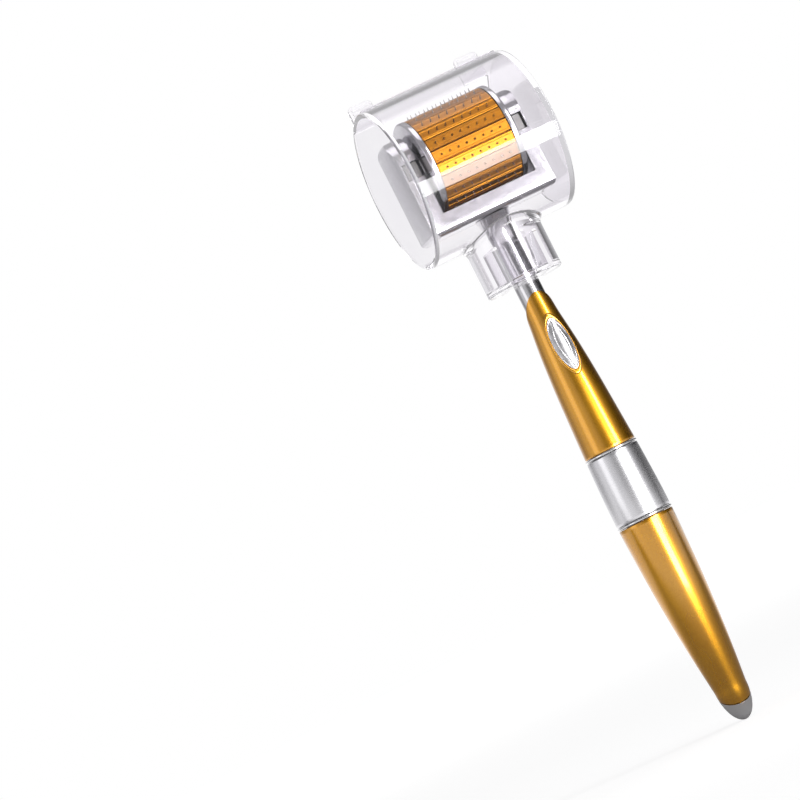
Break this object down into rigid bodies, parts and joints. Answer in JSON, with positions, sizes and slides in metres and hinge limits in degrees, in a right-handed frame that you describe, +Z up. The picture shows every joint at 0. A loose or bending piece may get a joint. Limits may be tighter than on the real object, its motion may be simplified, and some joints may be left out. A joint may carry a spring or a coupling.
{
  "type": "derma roller",
  "caption": "Hand-held micro-needle skin roller: tapered round handle with a centre band, forked head holding a needle-studded drum, and a clear push-on drum cover.",
  "frame": {"origin": "straight below the roller's axle, at the height of the tail's tip, with the tool upright", "axes": "+Z up from the tail to the head; X along the roller's axle; -Y the front of the handle, where the badge is"},
  "size_m": [0.0362, 0.0386, 0.1639],
  "materials": {
    "satin_gold": "satin metallic gold plating on moulded plastic",
    "drum_gold": "satin metallic amber-gold moulding",
    "satin_silver": "satin silver plating on moulded plastic",
    "steel": "drawn steel",
    "grey_plastic": "satin grey plastic",
    "white_plastic": "plain off-white plastic",
    "clear_plastic": "clear glossy moulded plastic"
  },
  "bodies": {
    "handle": {"yoke": "satin_silver", "neck": "satin_silver", "core_rod": "steel", "grip_joiner": "white_plastic", "upper_grip": "satin_gold", "badge": "satin_silver", "upper_trim_ring": "satin_silver", "centre_band": "satin_silver", "lower_trim_ring": "satin_silver", "lower_grip": "satin_gold", "tail_cap": "satin_silver", "axle": "steel", "left_axle_block": "grey_plastic", "right_axle_block": "grey_plastic"},
    "roller": {"drum_core": "drum_gold", "needle_strip_01": "drum_gold", "needle_strip_02": "drum_gold", "needle_strip_03": "drum_gold", "needle_strip_04": "drum_gold", "needle_strip_05": "drum_gold", "needle_strip_06": "drum_gold", "needle_strip_07": "drum_gold", "needle_strip_08": "drum_gold", "needle_strip_09": "drum_gold", "needle_strip_10": "drum_gold", "needle_strip_11": "drum_gold", "needle_strip_12": "drum_gold", "needle_strip_13": "drum_gold", "needle_strip_14": "drum_gold", "needle_strip_15": "drum_gold", "needle_strip_16": "drum_gold", "needle_strip_17": "drum_gold", "needle_strip_18": "drum_gold", "needle_strip_19": "drum_gold", "needle_strip_20": "drum_gold", "needle_strip_21": "drum_gold", "needle_strip_22": "drum_gold", "needle_strip_23": "drum_gold", "needle_strip_24": "drum_gold", "left_flange": "satin_silver", "right_flange": "satin_silver", "left_bush": "white_plastic", "right_bush": "white_plastic"},
    "cover": {"clear_cover": "clear_plastic"}
  },
  "joints": [
    {"name": "roller_spin", "type": "hinge", "parent": "handle", "child": "roller", "pos_m": [0, 0, 0.143], "axis": [1, 0, 0], "continuous": true},
    {"name": "cover_slide", "type": "slide", "parent": "handle", "child": "cover", "axis": [0, -1, 0], "range_m": [0, 0.045]}
  ]
}
